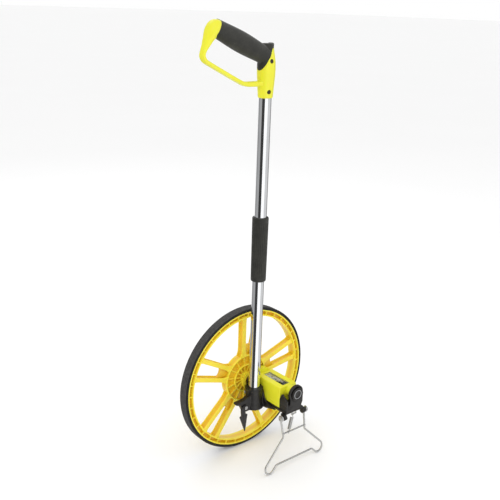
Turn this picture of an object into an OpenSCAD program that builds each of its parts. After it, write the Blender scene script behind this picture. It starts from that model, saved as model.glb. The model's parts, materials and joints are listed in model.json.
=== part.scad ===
// Measuring wheel: a single road wheel on a folding column, with a side counter and a wire stand.
// Millimetres, +Z up, +X the direction of travel, -Y the counter side.
// The origin is the point of the ground straight under the axle, in the wheel's mid plane.

/* [Wheel] */
// Radius of the tread; one turn covers a metre
wheel_r = 159.15; // [120:0.05:180]
// Width of the tyre
tyre_w = 22.4; // [16:0.2:30]
// Radial thickness of the tyre
tyre_t = 6.65; // [4:0.05:12]
// Radial depth of the rim channel
rim_depth = 13; // [8:0.5:20]
// Number of ribs that cross the rim channel
rim_ribs = 36; // [12:1:60]
// Number of spoke pairs
spoke_pairs = 5; // [3:1:8]
// Turn of the first spoke pair from the travel direction
spoke_turn = 12.7; // [0:0.1:72]
// Width of one spoke
spoke_w = 9.5; // [6:0.5:16]
// Sideways offset of a spoke from its pair's middle, at the hub
spoke_in = 12.5; // [8:0.5:20]
// Sideways offset of a spoke from its pair's middle, at the rim
spoke_out = 21; // [12:0.5:30]
// Radius of the hub disc
hub_r = 53; // [35:1:70]
// Radius of the axle
axle_r = 5; // [3:0.5:8]

/* [Counter] */
// Tooth module of the counter drive
gear_module = 1.5; // [1:0.25:2]
// Teeth on each of the two drive gears
gear_teeth = 24; // [16:1:32]
// Height of the axle above the counter shaft
counter_drop = 4; // [0:1:15]
// Width of the counter housing
box_w = 46; // [40:1:70]
// Length of the counter housing
box_l = 77.5; // [70:0.5:110]
// Height of the counter housing
box_h = 46; // [40:1:70]
// Number of number wheels
digits = 5; // [3:1:5]
// Radius of a number wheel
digit_r = 12.8; // [10:0.1:14]
// Pitch between number wheels
digit_pitch = 12; // [8:0.5:14]
// Length of the end block that carries the reset knob
end_l = 23; // [15:1:35]
// Radius of the collar round the reset knob
collar_r = 18.5; // [16:0.5:20]
// Thickness of the plate that carries the collar
collar_t = 7; // [4:0.5:12]
// Radius of the reset knob
knob_r = 14.5; // [8:0.5:16]

/* [Column] */
// Radius of both column tubes
tube_r = 12; // [8:0.5:20]
// Wall of both column tubes
tube_wall = 1.2; // [0.8:0.1:3]
// Column position along the travel direction
column_x = -6.8; // [-20:0.1:10]
// Distance of the column from the wheel's mid plane
column_out = 43; // [36:0.5:60]
// Height of the fold pivot above the axle
pivot_h = 347; // [250:1:450]
// Forward offset of the fold pivot from the column's axis
pivot_off = 6; // [3:0.5:7]
// Distance from the pivot to the end of each tube
pivot_gap = 16; // [12:1:30]
// Fold travel in degrees
fold_max = 130; // [60:1:135]
// Length of the locking sleeve
sleeve_l = 131; // [100:1:180]
// Radius of the locking sleeve at its top
sleeve_r = 16.25; // [14:0.25:22]
// Top of the upper tube above the axle
tube_top = 638; // [500:1:800]

/* [Handle] */
// Length of the grip along its own axis
grip_l = 118; // [90:1:150]
// Radius of the grip
grip_r = 17; // [12:0.5:22]
// Rise of the grip towards the user, in degrees
grip_rise = 22.8; // [0:0.1:45]
// Radius of the handle boss at its widest
boss_r = 17.2; // [16:0.1:26]
// Thickness of the knuckle guard
guard_t = 6.5; // [4:0.5:14]
// Depth of the knuckle guard across the hand
guard_d = 13.5; // [10:0.5:34]

/* [Stand] */
// Radius of the stand wire
wire_r = 2; // [1.5:0.25:4]
// Half the distance between the two pivots
stand_half = 32.5; // [25:0.5:45]
// Half the distance between the two foot loops
foot_half = 69; // [45:1:90]
// Radius of a foot loop's centre line
foot_r = 12; // [6:0.5:18]
// Outward lean of the lowered stand in degrees
stand_lean = 5.7; // [0:0.1:20]

/* [Hidden] */
$fn = 96;
run_gap = 0.05;
half_w = tyre_w / 2;
rim_r = wheel_r - tyre_t;
rim_in = rim_r - rim_depth;
boss_hub_r = 14;
bush_r = 8;
hub_ring_r = 28.5;
hub_side = 9;
hub_web = 2;
gear_z = 14;
gear_w = 6;
gear_r = gear_module * gear_teeth / 2;
gear_tip = gear_r + 0.8 * gear_module;
gear_root = gear_r - 1.1 * gear_module;
counter_x = sqrt(pow(2 * gear_r, 2) - pow(counter_drop, 2));
shaft_r = 3;
box_z = 24;
box_top = 11;
box_low = box_top - box_h;
box_out = box_z + box_l;
box_wall = 2;
digit_w = digit_pitch - 1;
digit_z = box_out - 13.5;
carry_r = 4.5;
carry_x = counter_x + 9.7;
carry_y = -counter_drop - sqrt(pow(digit_r + carry_r + 0.4, 2) - pow(9.7, 2));
tray_t = 6;
tray_lip = 1.5;
web_x = counter_x - box_w / 2 - tray_lip;
tray_z = box_out + end_l;
knob_x = counter_x + 3.5;
knob_h = 3.5 - counter_drop;
barrel_r = 11;
lug_t = 7;
hinge_h = -46;
hinge_out = 122;
socket_r = 18;
mouth_h = -4;
screw_turn = 135;
tube_low = -32;
foot_h = -50;
arm_x = -59.7;
pointer_x = -38;
pointer_h = -38;
pointer_lean = 7;
pointer_out = column_out + 9;
pivot_x = column_x + pivot_off;
boss_low = 594;
grip_h = 668;
// Each handle screw's place: along the travel, out to its head, and above the axle.
handle_screw_at = [[-3, 14, 606], [-1, 15.6, 661]];
// The seam between frame and grip, from the side: up the boss, then forward over it.
seam_foot = [-40, 599];
seam_bend = [3, 683];
seam_end = [60, 690];
loop_steps = 6;
spring_x = -3;
spring_foot = -16;
cross_v = -36;
stand_len = (wheel_r + hinge_h - wire_r) / cos(stand_lean);
sleeve_top = pivot_h + pivot_gap + 2;
fold_relief = 3.2;

// Puts the axle at the origin with local +Z outboard and local +Y up.
module axle_frame() translate([0, 0, wheel_r]) rotate([90, 0, 0]) children();

// Puts the axle's height at the origin with the row's own axes.
module axle_height() translate([0, 0, wheel_r]) children();

// Puts the column's axis at the origin, at the axle's height.
module column_frame() translate([column_x, -column_out, wheel_r]) children();

// Puts the stand's hinge line at the origin, the plane of the wire being local XY with -Y down.
module stand_frame()
    translate([counter_x, -hinge_out, wheel_r + hinge_h]) rotate([90 - stand_lean, 0, 0]) children();

// A plain ring along local Z.
module ring(ro, ri, z0, z1) translate([0, 0, z0]) difference() {
    cylinder(r = ro, h = z1 - z0);
    translate([0, 0, -1]) cylinder(r = ri, h = z1 - z0 + 2);
}

// A block given by its two corners.
module block(a, b) translate(a) cube(b - a);

// A spur gear blank with straight-flanked teeth, the first tooth turned by phase pitches.
module gear(z0, z1, bore, phase) translate([0, 0, z0]) difference() {
    union() {
        cylinder(r = gear_root, h = z1 - z0);
        for (i = [0 : gear_teeth - 1]) rotate((i + phase) * 360 / gear_teeth)
            linear_extrude(z1 - z0) polygon([
                [gear_root - 0.6, -1.55], [gear_r, -0.98], [gear_tip, -0.55],
                [gear_tip, 0.55], [gear_r, 0.98], [gear_root - 0.6, 1.55]]);
    }
    translate([0, 0, -1]) cylinder(r = bore, h = z1 - z0 + 2);
}

module tyre() color("dimgray") axle_frame() rotate_extrude($fn = 240) polygon([
    [rim_r, -half_w], [wheel_r - 1.6, -half_w], [wheel_r, 1.6 - half_w],
    [wheel_r, half_w - 1.6], [wheel_r - 1.6, half_w], [rim_r, half_w]]);

// One spoke of I section, on the side s of its pair.
module spoke(s) {
    lean = atan((spoke_out - spoke_in) / (rim_in - hub_r));
    translate([hub_r - 2, s * spoke_in, 0]) rotate([0, 0, s * lean]) {
        length = (rim_in - hub_r) / cos(lean) + 4;
        block([0, -2, -8], [length, 2, 8]);
        for (z = [-8, 5]) block([0, -spoke_w / 2, z], [length, spoke_w / 2, z + 3]);
    }
}

module spoked_wheel() color("gold") axle_frame() {
    difference() {
        union() {
            ring(rim_r, rim_r - 3, -half_w, half_w);
            ring(rim_in + 3, rim_in, -half_w, half_w);
            ring(rim_r - 1, rim_in + 1, -hub_web, hub_web);
            for (i = [0 : rim_ribs - 1]) rotate(i * 360 / rim_ribs)
                block([rim_in + 1, -1.2, -half_w + 2], [rim_r - 1, 1.2, half_w - 2]);
            for (i = [0 : spoke_pairs - 1]) rotate(spoke_turn + i * 360 / spoke_pairs) {
                for (s = [-1, 1]) spoke(s);
                block([hub_r - 2, -spoke_in, -hub_web], [hub_r + 29, spoke_in, hub_web]);
            }
            ring(hub_r, hub_r - 3, -hub_side, hub_side);
            ring(hub_r - 1, boss_hub_r - 1, -hub_web, hub_web);
            ring(hub_ring_r + 3, hub_ring_r, -half_w, hub_side);
            for (i = [0 : 2]) for (j = [0 : spoke_pairs - 1])
                rotate(spoke_turn + (i + 0.5) * 120 / spoke_pairs + j * 360 / spoke_pairs) {
                    block([hub_ring_r + 1, -1.5, -7], [hub_r - 1, 1.5, 7]);
                    block([boss_hub_r - 1, -1.5, 0], [hub_ring_r + 1, 1.5, 7]);
                }
            translate([0, 0, -hub_web]) cylinder(r = boss_hub_r, h = gear_z + hub_web);
        }
        translate([0, 0, -hub_web - 1]) cylinder(r = bush_r, h = gear_z + hub_web + 2);
    }
}

module hub_bushes() color("tan") axle_frame() {
    ring(bush_r, axle_r + run_gap, gear_z - 8, gear_z + gear_w);
    ring(bush_r + 3, axle_r + run_gap, gear_z + gear_w, gear_z + gear_w + 1.5);
    ring(bush_r, axle_r + run_gap, -hub_web, 4);
    ring(bush_r + 3, axle_r + run_gap, -hub_web - 1.2, -hub_web);
}

module hub_gear() color("gold") axle_frame()
    rotate(-asin(counter_drop / (2 * gear_r))) gear(gear_z, gear_z + gear_w, bush_r, 0);

module hub_cap() color("gold") axle_frame() {
    translate([0, 0, -half_w]) cylinder(r = hub_ring_r, h = 1.6);
    ring(hub_ring_r, hub_ring_r - 2, -half_w + 1.6, -4.5);
}

module axle_bolt() color("silver") axle_frame() {
    translate([0, 0, -hub_side]) cylinder(r = axle_r, h = hub_side + 30.5);
    ring(bush_r, axle_r, gear_z + gear_w + 1.8, 22.5);
}

module axle_nut() color("silver") axle_frame() {
    ring(9, axle_r, -4.7, -3.5);
    translate([0, 0, -8.5]) difference() {
        cylinder(r = 9, h = 3.8, $fn = 6);
        translate([0, 0, -1]) cylinder(r = axle_r, h = 6);
    }
}

module column_bracket() color("dimgray") difference() {
    union() {
        column_frame() {
            translate([0, 0, foot_h]) cylinder(r = socket_r, h = mouth_h - foot_h);
            translate([0, 0, foot_h]) cylinder(r = socket_r + 3, h = 4);
            translate([0, 0, foot_h + 4]) cylinder(r1 = socket_r + 3, r2 = socket_r, h = 4);
            ring(socket_r + 1, socket_r - 1, mouth_h - 3, mouth_h - 1);
        }
        axle_frame() {
            translate([0, 0, 22.5]) cylinder(r = 9, h = 8);
            block([-9, -30, 22.5], [9, 0, 30.5]);
            block([-24, foot_h, 30], [counter_x, box_low - tray_t, 56]);
        }
        // Arm that holds the pointer, with a lobe below the screw.
        translate([0, 12 - pointer_out, wheel_r]) rotate([90, 0, 0]) linear_extrude(12) polygon([
            [column_x - 10, -18], [column_x - socket_r - 4, -19], [pointer_x, -23], [arm_x, -24],
            [arm_x, -29], [pointer_x - 11, -32], [pointer_x - 2, foot_h + 1],
            [pointer_x + 6, foot_h - 1], [column_x - 10, foot_h]]);
        // Gusset under the counter tray, and the web that flows from the socket into the tray.
        translate([12, 0, wheel_r]) rotate([90, 0, 90]) linear_extrude(20) polygon([
            [-50, foot_h], [-50, box_low - tray_t], [-86, box_low - tray_t], [-60, foot_h]]);
        translate([web_x - 3.4, 0, wheel_r]) rotate([90, 0, 90]) linear_extrude(3.4) polygon([
            [-44, -8], [-51, -8], [-56, -18], [-59, -27], [-65, -34.5], [-74, -38], [-95, -39.5],
            [-95, -41.5], [-80, -45], [-66, -49.5], [-60, foot_h], [-44, foot_h]]);
    }
    column_frame() translate([0, 0, tube_low]) cylinder(r = tube_r, h = 60);
    axle_frame() {
        translate([0, 0, 20]) cylinder(r = axle_r, h = 10.5);
        block([web_x, box_low - tray_t, 20], [90, 60, 90]);
        translate([pointer_x, pointer_h, pointer_out - 10]) cylinder(r = 2, h = 11);
        for (z = [36, 52]) translate([counter_x - 8, foot_h - 1, z]) rotate([-90, 0, 0])
            cylinder(r = 1.75, h = 20);
    }
    column_frame() rotate(screw_turn) translate([socket_r - 9, 0, -18]) rotate([0, 90, 0])
        cylinder(r = 2, h = 12);
}

module start_pointer() color("black") axle_frame()
    translate([pointer_x, pointer_h, pointer_out]) rotate(pointer_lean) difference() {
        linear_extrude(3) {
            circle(r = 5.5);
            polygon([[0, 5.5], [-7, 4], [-12, -2], [-12, -15.5], [-16.5, -17.5], [-6.5, -57],
                [3.5, -17.5], [-1, -15.5], [-1, -5.4]]);
        }
        translate([0, 0, -1]) cylinder(r = 2, h = 5);
    }

module pointer_screw() color("silver") axle_frame() translate([pointer_x, pointer_h, 0]) {
    translate([0, 0, pointer_out - 10]) cylinder(r = 2, h = 14);
    translate([0, 0, pointer_out + 3]) difference() {
        cylinder(r = 3.6, h = 2.2);
        block([-2.6, -0.5, 1.2], [2.6, 0.5, 3]);
        block([-0.5, -2.6, 1.2], [0.5, 2.6, 3]);
    }
}

module counter_cradle() color("dimgray") axle_frame() difference() {
    union() {
        block([web_x, box_low - tray_t, box_z], [counter_x + box_w / 2 + tray_lip, box_low, tray_z]);
        // Low end block, then the plate and the collar round the knob.
        translate([0, 0, box_out]) linear_extrude(end_l) polygon([
            [counter_x - box_w / 2, box_low], [counter_x + box_w / 2 - 6, box_low],
            [knob_x + collar_r, -22], [counter_x - box_w / 2, -22]]);
        translate([0, 0, tray_z - collar_t]) linear_extrude(collar_t) {
            polygon([[counter_x - 13, -23], [knob_x + collar_r, -23], [knob_x + collar_r, knob_h],
                [counter_x - 13, knob_h]]);
            translate([knob_x, knob_h]) circle(r = collar_r);
        }
        // Horn on the user's side.
        translate([counter_x - box_w / 2 + 4, 0, 0]) rotate([0, -90, 0]) linear_extrude(4) polygon([
            [box_out, -24], [box_out, -14], [box_out + 5, -1.5], [box_out + 7, -0.5],
            [box_out + 9.5, -2], [tray_z, -12], [tray_z, -24]]);
        // Lugs for the stand.
        for (s = [-1, 1]) translate([counter_x + s * (stand_half - 6.5) - lug_t / 2, 0, hinge_out]) {
            translate([0, hinge_h, 0]) rotate([0, 90, 0]) cylinder(r = 6.5, h = lug_t);
            block([0, hinge_h, -6.5], [lug_t, box_low - 1, 2.5]);
        }
    }
    translate([knob_x, knob_h, box_out - 1]) cylinder(r = 4 + run_gap, h = end_l + 2);
    translate([knob_x, knob_h, tray_z - 3]) cylinder(r = knob_r + 1.2, h = 5);
    for (s = [-1, 1]) translate([counter_x + s * (stand_half - 6.5) - lug_t, hinge_h, hinge_out])
        rotate([0, 90, 0]) cylinder(r = 2, h = 2 * lug_t);
    for (s = [-6, 6]) translate([counter_x + s, box_low - tray_t - 1, hinge_out])
        rotate([-90, 0, 0]) cylinder(r = 1.5, h = 5);
    for (z = [36, 52]) translate([counter_x - 8, box_low - tray_t - 1, z]) rotate([-90, 0, 0])
        cylinder(r = 1.75, h = 5);
}

module cradle_screws() color("silver") axle_frame() for (z = [36, 52])
    translate([counter_x - 8, 0, z]) rotate([-90, 0, 0]) {
        translate([0, 0, foot_h]) cylinder(r = 1.75, h = -foot_h + box_low - tray_t + 4);
        translate([0, 0, foot_h - 2]) cylinder(r = 3.4, h = 2);
    }

module counter_housing() color("yellow") axle_frame() difference() {
    union() {
        difference() {
            block([counter_x - box_w / 2, box_low, box_z], [counter_x + box_w / 2, box_top, box_out]);
            block([counter_x - box_w / 2 + box_wall, box_low - 1, box_z + box_wall],
                [counter_x + box_w / 2 - box_wall, box_top - box_wall, box_out - box_wall]);
        }
        // Barrel that carries the reset knob's stem.
        translate([knob_x, knob_h, box_out - 1]) cylinder(r = barrel_r, h = end_l - collar_t + 0.7);
        // Posts that hold the carry shaft's ends.
        for (z = [box_z + box_wall, box_out - box_wall - 4])
            translate([carry_x, carry_y, z]) cylinder(r = 4, h = 4);
    }
    block([counter_x - 7.8, box_top - 3, digit_z + 0.5 - (digits - 0.5) * digit_pitch],
        [counter_x + 7.8, box_top + 1, digit_z - 0.5 + digit_pitch / 2]);
    block([counter_x - 9.3, box_top - 1.2, digit_z - 1 - (digits - 0.5) * digit_pitch],
        [counter_x + 9.3, box_top + 1, digit_z + 1 + digit_pitch / 2]);
    translate([counter_x, -counter_drop, box_z - 1]) cylinder(r = 5.5, h = box_l + 1);
    translate([knob_x, knob_h, box_out + 1]) cylinder(r = 4 + run_gap, h = end_l);
    translate([carry_x, carry_y, box_z + 1]) cylinder(r = 1.5, h = box_l - 2);
}

module counter_window() color([0.8, 0.85, 0.85, 0.5]) axle_frame() {
    block([counter_x - 9.3, box_top - 1.2, digit_z - 1 - (digits - 0.5) * digit_pitch],
        [counter_x + 9.3, box_top - 0.2, digit_z + 1 + digit_pitch / 2]);
}

module gear_cover() color("yellow") axle_frame() difference() {
    translate([counter_x, -counter_drop, 12.2]) cylinder(r = gear_tip + 3.3, h = box_z - 12.2);
    translate([counter_x, -counter_drop, 13.7]) cylinder(r = gear_tip + 1.5, h = box_z - 15.2);
    translate([counter_x, -counter_drop, 13.7]) cylinder(r = 6, h = box_z);
    translate([0, 0, 12]) cylinder(r = gear_tip + 1.2, h = box_z);
}

module counter_bearings() color("silver") axle_frame() translate([counter_x, -counter_drop, 0]) {
    ring(5.5, shaft_r + run_gap, box_z, box_z + box_wall + 1.5);
    ring(5.5, shaft_r + run_gap, box_out - box_wall - 1.5, box_out);
}

module counter_shaft() color("silver") axle_frame()
    translate([counter_x, -counter_drop, gear_z + 0.2]) cylinder(r = shaft_r, h = box_out - gear_z - 0.7);

module input_gear() color("white") axle_frame() translate([counter_x, -counter_drop, 0])
    rotate(-asin(counter_drop / (2 * gear_r))) gear(gear_z + 0.5, gear_z + gear_w - 0.5, shaft_r, 0.5);

// Number wheel k, counted from the outboard end.
module number_wheel(k, bore) axle_frame()
    translate([counter_x, -counter_drop, digit_z - (k - 1) * digit_pitch - digit_w / 2]) difference() {
        cylinder(r = digit_r, h = digit_w);
        translate([0, 0, -1]) cylinder(r = bore, h = digit_w + 2);
        for (i = [0 : 9]) rotate(18 + i * 36) translate([digit_r, 0, 1]) cylinder(r = 0.5, h = digit_w - 2);
        translate([0, 0, digit_w - 2]) difference() {
            cylinder(r = digit_r - 2.5, h = 3);
            translate([0, 0, -1]) cylinder(r = 6, h = 5);
        }
    }

module carry_shaft() color("silver") axle_frame()
    translate([carry_x, carry_y, box_z + 1]) cylinder(r = 1.5, h = box_l - 2);

// Eight-toothed carry pinion between number wheels k and k + 1.
module carry_pinion(k) color("white") axle_frame()
    translate([carry_x, carry_y, digit_z - (k - 0.5) * digit_pitch - 3]) difference() {
        union() {
            cylinder(r = carry_r - 1.6, h = 6);
            for (i = [0 : 7]) rotate(i * 45) block([1.6, -0.6, 0], [carry_r - 0.1, 0.6, 6]);
        }
        translate([0, 0, -1]) cylinder(r = 1.5 + run_gap, h = 8);
    }

module reset_knob() color("black") axle_frame() translate([knob_x, knob_h, 0]) {
    translate([0, 0, box_out + 2]) cylinder(r = 4, h = end_l - 4);
    translate([0, 0, tray_z - 2.5]) difference() {
        cylinder(r = knob_r, h = 7);
        for (i = [0 : 17]) rotate(i * 20) translate([knob_r + 0.6, 0, 2]) cylinder(r = 1.4, h = 7);
        translate([0, 0, 5.5]) cylinder(r = knob_r - 4, h = 3);
    }
}

module lower_tube() color("silver") column_frame() difference() {
    ring(tube_r, tube_r - tube_wall, tube_low, pivot_h - pivot_gap);
    rotate(screw_turn) translate([tube_r - 4, 0, -18]) rotate([0, 90, 0]) cylinder(r = 2, h = 5);
}

module tube_screw() color("silver") column_frame() rotate(screw_turn)
    translate([0, 0, -18]) rotate([0, 90, 0]) {
        translate([0, 0, tube_r - 3]) cylinder(r = 2, h = socket_r - tube_r + 3);
        translate([0, 0, socket_r]) cylinder(r = 3.6, h = 2);
    }

module lower_hinge_fitting() color("gray") column_frame() translate([0, 0, pivot_h]) difference() {
    union() {
        translate([0, 0, -pivot_gap - 28]) cylinder(r = tube_r - tube_wall, h = 28);
        intersection() {
            translate([0, 0, -pivot_gap]) cylinder(r = tube_r - 0.2, h = pivot_gap + 10);
            union() {
                block([-tube_r, -4, -pivot_gap], [tube_r, 4, 0]);
                translate([pivot_off, 4, 0]) rotate([90, 0, 0]) cylinder(r = 5.8, h = 8);
            }
        }
    }
    translate([pivot_off, 20, 0]) rotate([90, 0, 0]) cylinder(r = 2.5 + run_gap, h = 40);
}

module hinge_pin() color("silver") column_frame()
    translate([pivot_off, 8.2, pivot_h]) rotate([90, 0, 0]) cylinder(r = 2.5, h = 16.4);

module upper_hinge_fitting() color("gray") column_frame() translate([0, 0, pivot_h]) difference() {
    union() {
        translate([0, 0, pivot_gap]) cylinder(r = tube_r - tube_wall, h = 28);
        intersection() {
            translate([0, 0, -10]) cylinder(r = tube_r - 0.2, h = pivot_gap + 10);
            for (s = [-1, 1]) {
                block([-tube_r, s * 7.3 - 3, 0.5], [tube_r, s * 7.3 + 3, pivot_gap]);
                translate([pivot_off, s * 7.3 + 3, 0]) rotate([90, 0, 0]) cylinder(r = 5.8, h = 6);
            }
        }
    }
    translate([pivot_off, 20, 0]) rotate([90, 0, 0]) cylinder(r = 2.5, h = 40);
}

module upper_tube() color("silver") column_frame() difference() {
    ring(tube_r, tube_r - tube_wall, pivot_h + pivot_gap, tube_top);
    translate([handle_screw_at[0][0], 0, handle_screw_at[0][2]]) rotate([90, 0, 0])
        cylinder(r = 2, h = tube_r + 1);
}

module lock_sleeve() color("dimgray") column_frame() difference() {
    translate([0, 0, sleeve_top - sleeve_l]) rotate_extrude() polygon([
        [tube_r + run_gap, 0], [sleeve_r - 1.4, 0], [sleeve_r - 0.9, 2], [sleeve_r - 0.9, 7],
        [sleeve_r - 1.4, 9], [sleeve_r - 0.6, sleeve_l - 9], [sleeve_r, sleeve_l - 7],
        [sleeve_r, sleeve_l - 1.5], [sleeve_r - 0.8, sleeve_l], [tube_r + run_gap, sleeve_l]]);
    // Room at the top for the hinge as it starts to turn.
    for (i = [1 : 6]) translate([fold_relief * i / 6, 0, pivot_h - 7])
        cylinder(r = tube_r + run_gap, h = 40);
}

// Everything behind and above the seam, seen from the side: the grip's share of the boss.
module above_seam() translate([0, 60, 0]) rotate([90, 0, 0]) linear_extrude(120)
    polygon([seam_foot, seam_bend, seam_end, [60, 800], [-200, 800], [-200, seam_foot[1]]]);

// Everything in front of the seam: the frame's share.
module below_seam() translate([0, 60, 0]) rotate([90, 0, 0]) linear_extrude(120)
    polygon([seam_foot, seam_bend, seam_end, [60, 560], [seam_foot[0], 560]]);

// The boss over the tube's end, widening upwards and narrowing again to a small flat top.
module handle_boss() rotate_extrude() polygon([
    [0, boss_low], [boss_r - 4, boss_low], [boss_r - 3.3, boss_low + 1.5], [boss_r - 0.4, boss_low + 40],
    [boss_r, boss_low + 52], [boss_r - 0.5, 660], [boss_r - 2.2, 670], [boss_r - 4, 680],
    [boss_r - 5.2, 687], [boss_r - 5.8, 691], [boss_r - 7, 692], [0, 690.5]]);

module grip_axis() translate([0, 0, grip_h]) rotate([0, grip_rise - 90, 0]) children();

module handle_frame() color("yellow") column_frame() difference() {
    union() {
        difference() {
            handle_boss();
            above_seam();
        }
        // Cap on the far end of the grip.
        grip_axis() translate([0, 0, grip_l]) {
            cylinder(r = grip_r + 0.5, h = 8);
            translate([0, 0, 8]) cylinder(r1 = grip_r + 0.5, r2 = grip_r - 4, h = 4);
        }
        // Knuckle guard: two straps with round ends, and its foot on the boss.
        translate([0, guard_d / 2, 0]) rotate([90, 0, 0]) linear_extrude(guard_d) {
            translate([-122, 700]) rotate(229) translate([0, -guard_t / 2]) square([34, guard_t]);
            translate([-144.3, 674.3]) circle(r = guard_t / 2);
            translate([-144.3, 674.3]) rotate(-52) translate([0, -guard_t / 2]) square([16, guard_t]);
            translate([-134.4, 661.7]) circle(r = guard_t / 2);
            translate([-134.4, 661.7]) rotate(-26) translate([0, -guard_t / 2]) square([82, guard_t]);
            translate([-60.7, 625.7]) circle(r = guard_t / 2);
            polygon([[-62.5, 622.1], [-50, 616], [-10, 614], [-10, 632], [-40, 628], [-59, 629.3]]);
            translate([-122, 706]) circle(r = 9);
        }
    }
    translate([0, 0, 590]) cylinder(r = tube_r, h = tube_top - 589);
    for (q = handle_screw_at) translate([q[0], -q[1], q[2]]) rotate([-90, 0, 0]) {
        translate([0, 0, -4]) cylinder(r = 4, h = 6);
        cylinder(r = 2, h = 11);
    }
    grip_axis() cylinder(r = 6, h = grip_l + 6);
}

// Radius of the grip at a fraction t of its length: one broad swell that fills the palm.
function swell(t) = grip_r - 0.7 + 2.4 * pow(sin(180 * t), 2);

module handle_grip() color("dimgray") column_frame() {
    difference() {
        union() {
            grip_axis() rotate_extrude() polygon(concat([[0, 0]],
                [for (i = [0 : 24]) [swell(i / 24), i * grip_l / 24]], [[0, grip_l]]));
            handle_boss();
        }
        below_seam();
    }
    grip_axis() translate([0, 0, grip_l - 1]) cylinder(r = 6, h = 7);
}

module handle_screws() color("silver") column_frame()
    for (q = handle_screw_at) translate([q[0], -q[1], q[2]]) rotate([-90, 0, 0]) {
        translate([0, 0, 0.2]) cylinder(r = 2, h = 8.8);
        difference() {
            cylinder(r = 3.8, h = 2);
            block([-2.6, -0.5, -1], [2.6, 0.5, 0.9]);
            block([-0.5, -2.6, -1], [0.5, 2.6, 0.9]);
        }
    }

// A straight length of round wire between two points of the stand's plane.
module wire(a, b, r = wire_r) {
    d = b - a;
    translate([a[0], a[1], 0]) rotate([0, 90, atan2(d[1], d[0])]) cylinder(r = r, h = norm(d), $fn = 32);
}

// A short drum that rounds a corner of the wire.
module bend(a) translate([a[0], a[1], -wire_r]) cylinder(r = wire_r, h = 2 * wire_r);

// The point where a line from p touches the foot loop round c, on the side s.
function touch(p, c, s) =
    let (d = p - c, t = atan2(d[1], d[0]) + s * acos(foot_r / norm(d)))
    [c[0] + foot_r * cos(t), c[1] + foot_r * sin(t), t];

// Pivot eye, arm and foot loop of one side.
module stand_half_wire() {
    eye = [stand_half, 0];
    hip = [30, -44];
    loop = [foot_half, foot_r - stand_len];
    base = [foot_half - 18, foot_r - stand_len + 1];
    outer = touch(hip, loop, -1);
    inner = touch(base, loop, 1);
    turn = (outer[2] - inner[2] + 360) / loop_steps;
    rim = [for (i = [0 : loop_steps])
        loop + foot_r * [cos(inner[2] + i * turn), sin(inner[2] + i * turn)]];
    translate([eye[0] - wire_r, 0, 0]) rotate([0, 90, 0]) difference() {
        cylinder(r = 6.5, h = 2 * wire_r);
        translate([0, 0, -1]) cylinder(r = 2.5 + run_gap, h = 2 * wire_r + 2);
    }
    wire([eye[0] - 0.4, -5.4], hip);
    bend(hip);
    wire(hip, rim[loop_steps]);
    for (i = [1 : loop_steps]) {
        wire(rim[i - 1], rim[i]);
        bend(rim[i]);
    }
    bend(rim[0]);
    wire(rim[0], base);
    bend(base);
}

module stand_wire() color("silver") stand_frame() {
    stand_half_wire();
    mirror([1, 0, 0]) stand_half_wire();
    base_v = foot_r - stand_len + 1;
    wire([18 - foot_half, base_v], [foot_half - 18, base_v]);
    wire([-30.4, cross_v], [30.4, cross_v], wire_r - 0.3);
}

module stand_pivots() color("silver") for (s = [-1, 1])
    translate([counter_x, -hinge_out, wheel_r + hinge_h]) rotate([0, s * 90, 0]) {
        translate([0, 0, stand_half - 8.5]) cylinder(r = 2, h = 6.2);
        translate([0, 0, stand_half - 2.3]) cylinder(r = 2.5, h = 4.6);
        translate([0, 0, stand_half + 2.3]) cylinder(r = 4.5, h = 2);
    }

module stand_spring() color("silver") stand_frame() {
    slope = atan((spring_foot - spring_x) / cross_v);
    translate([spring_x, 0, 0]) rotate([0, 90, 0]) translate([0, 0, -0.6]) difference() {
        cylinder(r = 3.1, h = 1.2);
        translate([0, 0, -1]) cylinder(r = 1.9, h = 4);
    }
    translate([spring_x, 0, 0]) rotate([0, 0, -slope]) rotate([90, 0, 0]) {
        rotate_extrude($fn = 48) {
            translate([0, 2.6]) square([3.2, 28.4]);
            for (i = [0 : 12]) translate([3, 2 * i + 4.8]) circle(r = 1, $fn = 16);
        }
        translate([0, 0, 30]) cylinder(r = 0.6, h = 6);
    }
    translate([spring_foot, cross_v, 0]) rotate([0, 90, 0]) translate([0, 0, -0.6]) ring(3.3, 1.7, 0, 1.2);
}

module spring_anchor() color("silver") axle_frame() translate([counter_x, 0, hinge_out]) {
    translate([-6, hinge_h, 0]) rotate([0, 90, 0]) cylinder(r = 1.5, h = 12, $fn = 32);
    for (s = [-6, 6]) translate([s, hinge_h, 0]) {
        sphere(r = 1.5, $fn = 32);
        rotate([-90, 0, 0]) cylinder(r = 1.5, h = box_low - tray_t + 4 - hinge_h, $fn = 32);
    }
}

tyre();
spoked_wheel();
hub_bushes();
hub_gear();
hub_cap();
axle_bolt();
axle_nut();
column_bracket();
start_pointer();
pointer_screw();
counter_cradle();
cradle_screws();
counter_housing();
counter_window();
gear_cover();
counter_bearings();
counter_shaft();
input_gear();
color("black") number_wheel(1, shaft_r);  // number_wheel_1
color("white") number_wheel(2, shaft_r + run_gap);  // number_wheel_2
color("white") number_wheel(3, shaft_r + run_gap);  // number_wheel_3
color("white") number_wheel(4, shaft_r + run_gap);  // number_wheel_4
color("white") number_wheel(5, shaft_r + run_gap);  // number_wheel_5
carry_shaft();
carry_pinion(1);  // carry_pinion_1
carry_pinion(2);  // carry_pinion_2
carry_pinion(3);  // carry_pinion_3
carry_pinion(4);  // carry_pinion_4
reset_knob();
lower_tube();
tube_screw();
lower_hinge_fitting();
hinge_pin();
upper_hinge_fitting();
upper_tube();
lock_sleeve();
handle_frame();
handle_grip();
handle_screws();
stand_wire();
stand_pivots();
stand_spring();
spring_anchor();
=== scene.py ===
"""Looks of a measuring wheel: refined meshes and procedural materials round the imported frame.

Shapes are built in millimetres in the row frame and turned into metres as each piece is finished.
"""
import json
import math

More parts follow.
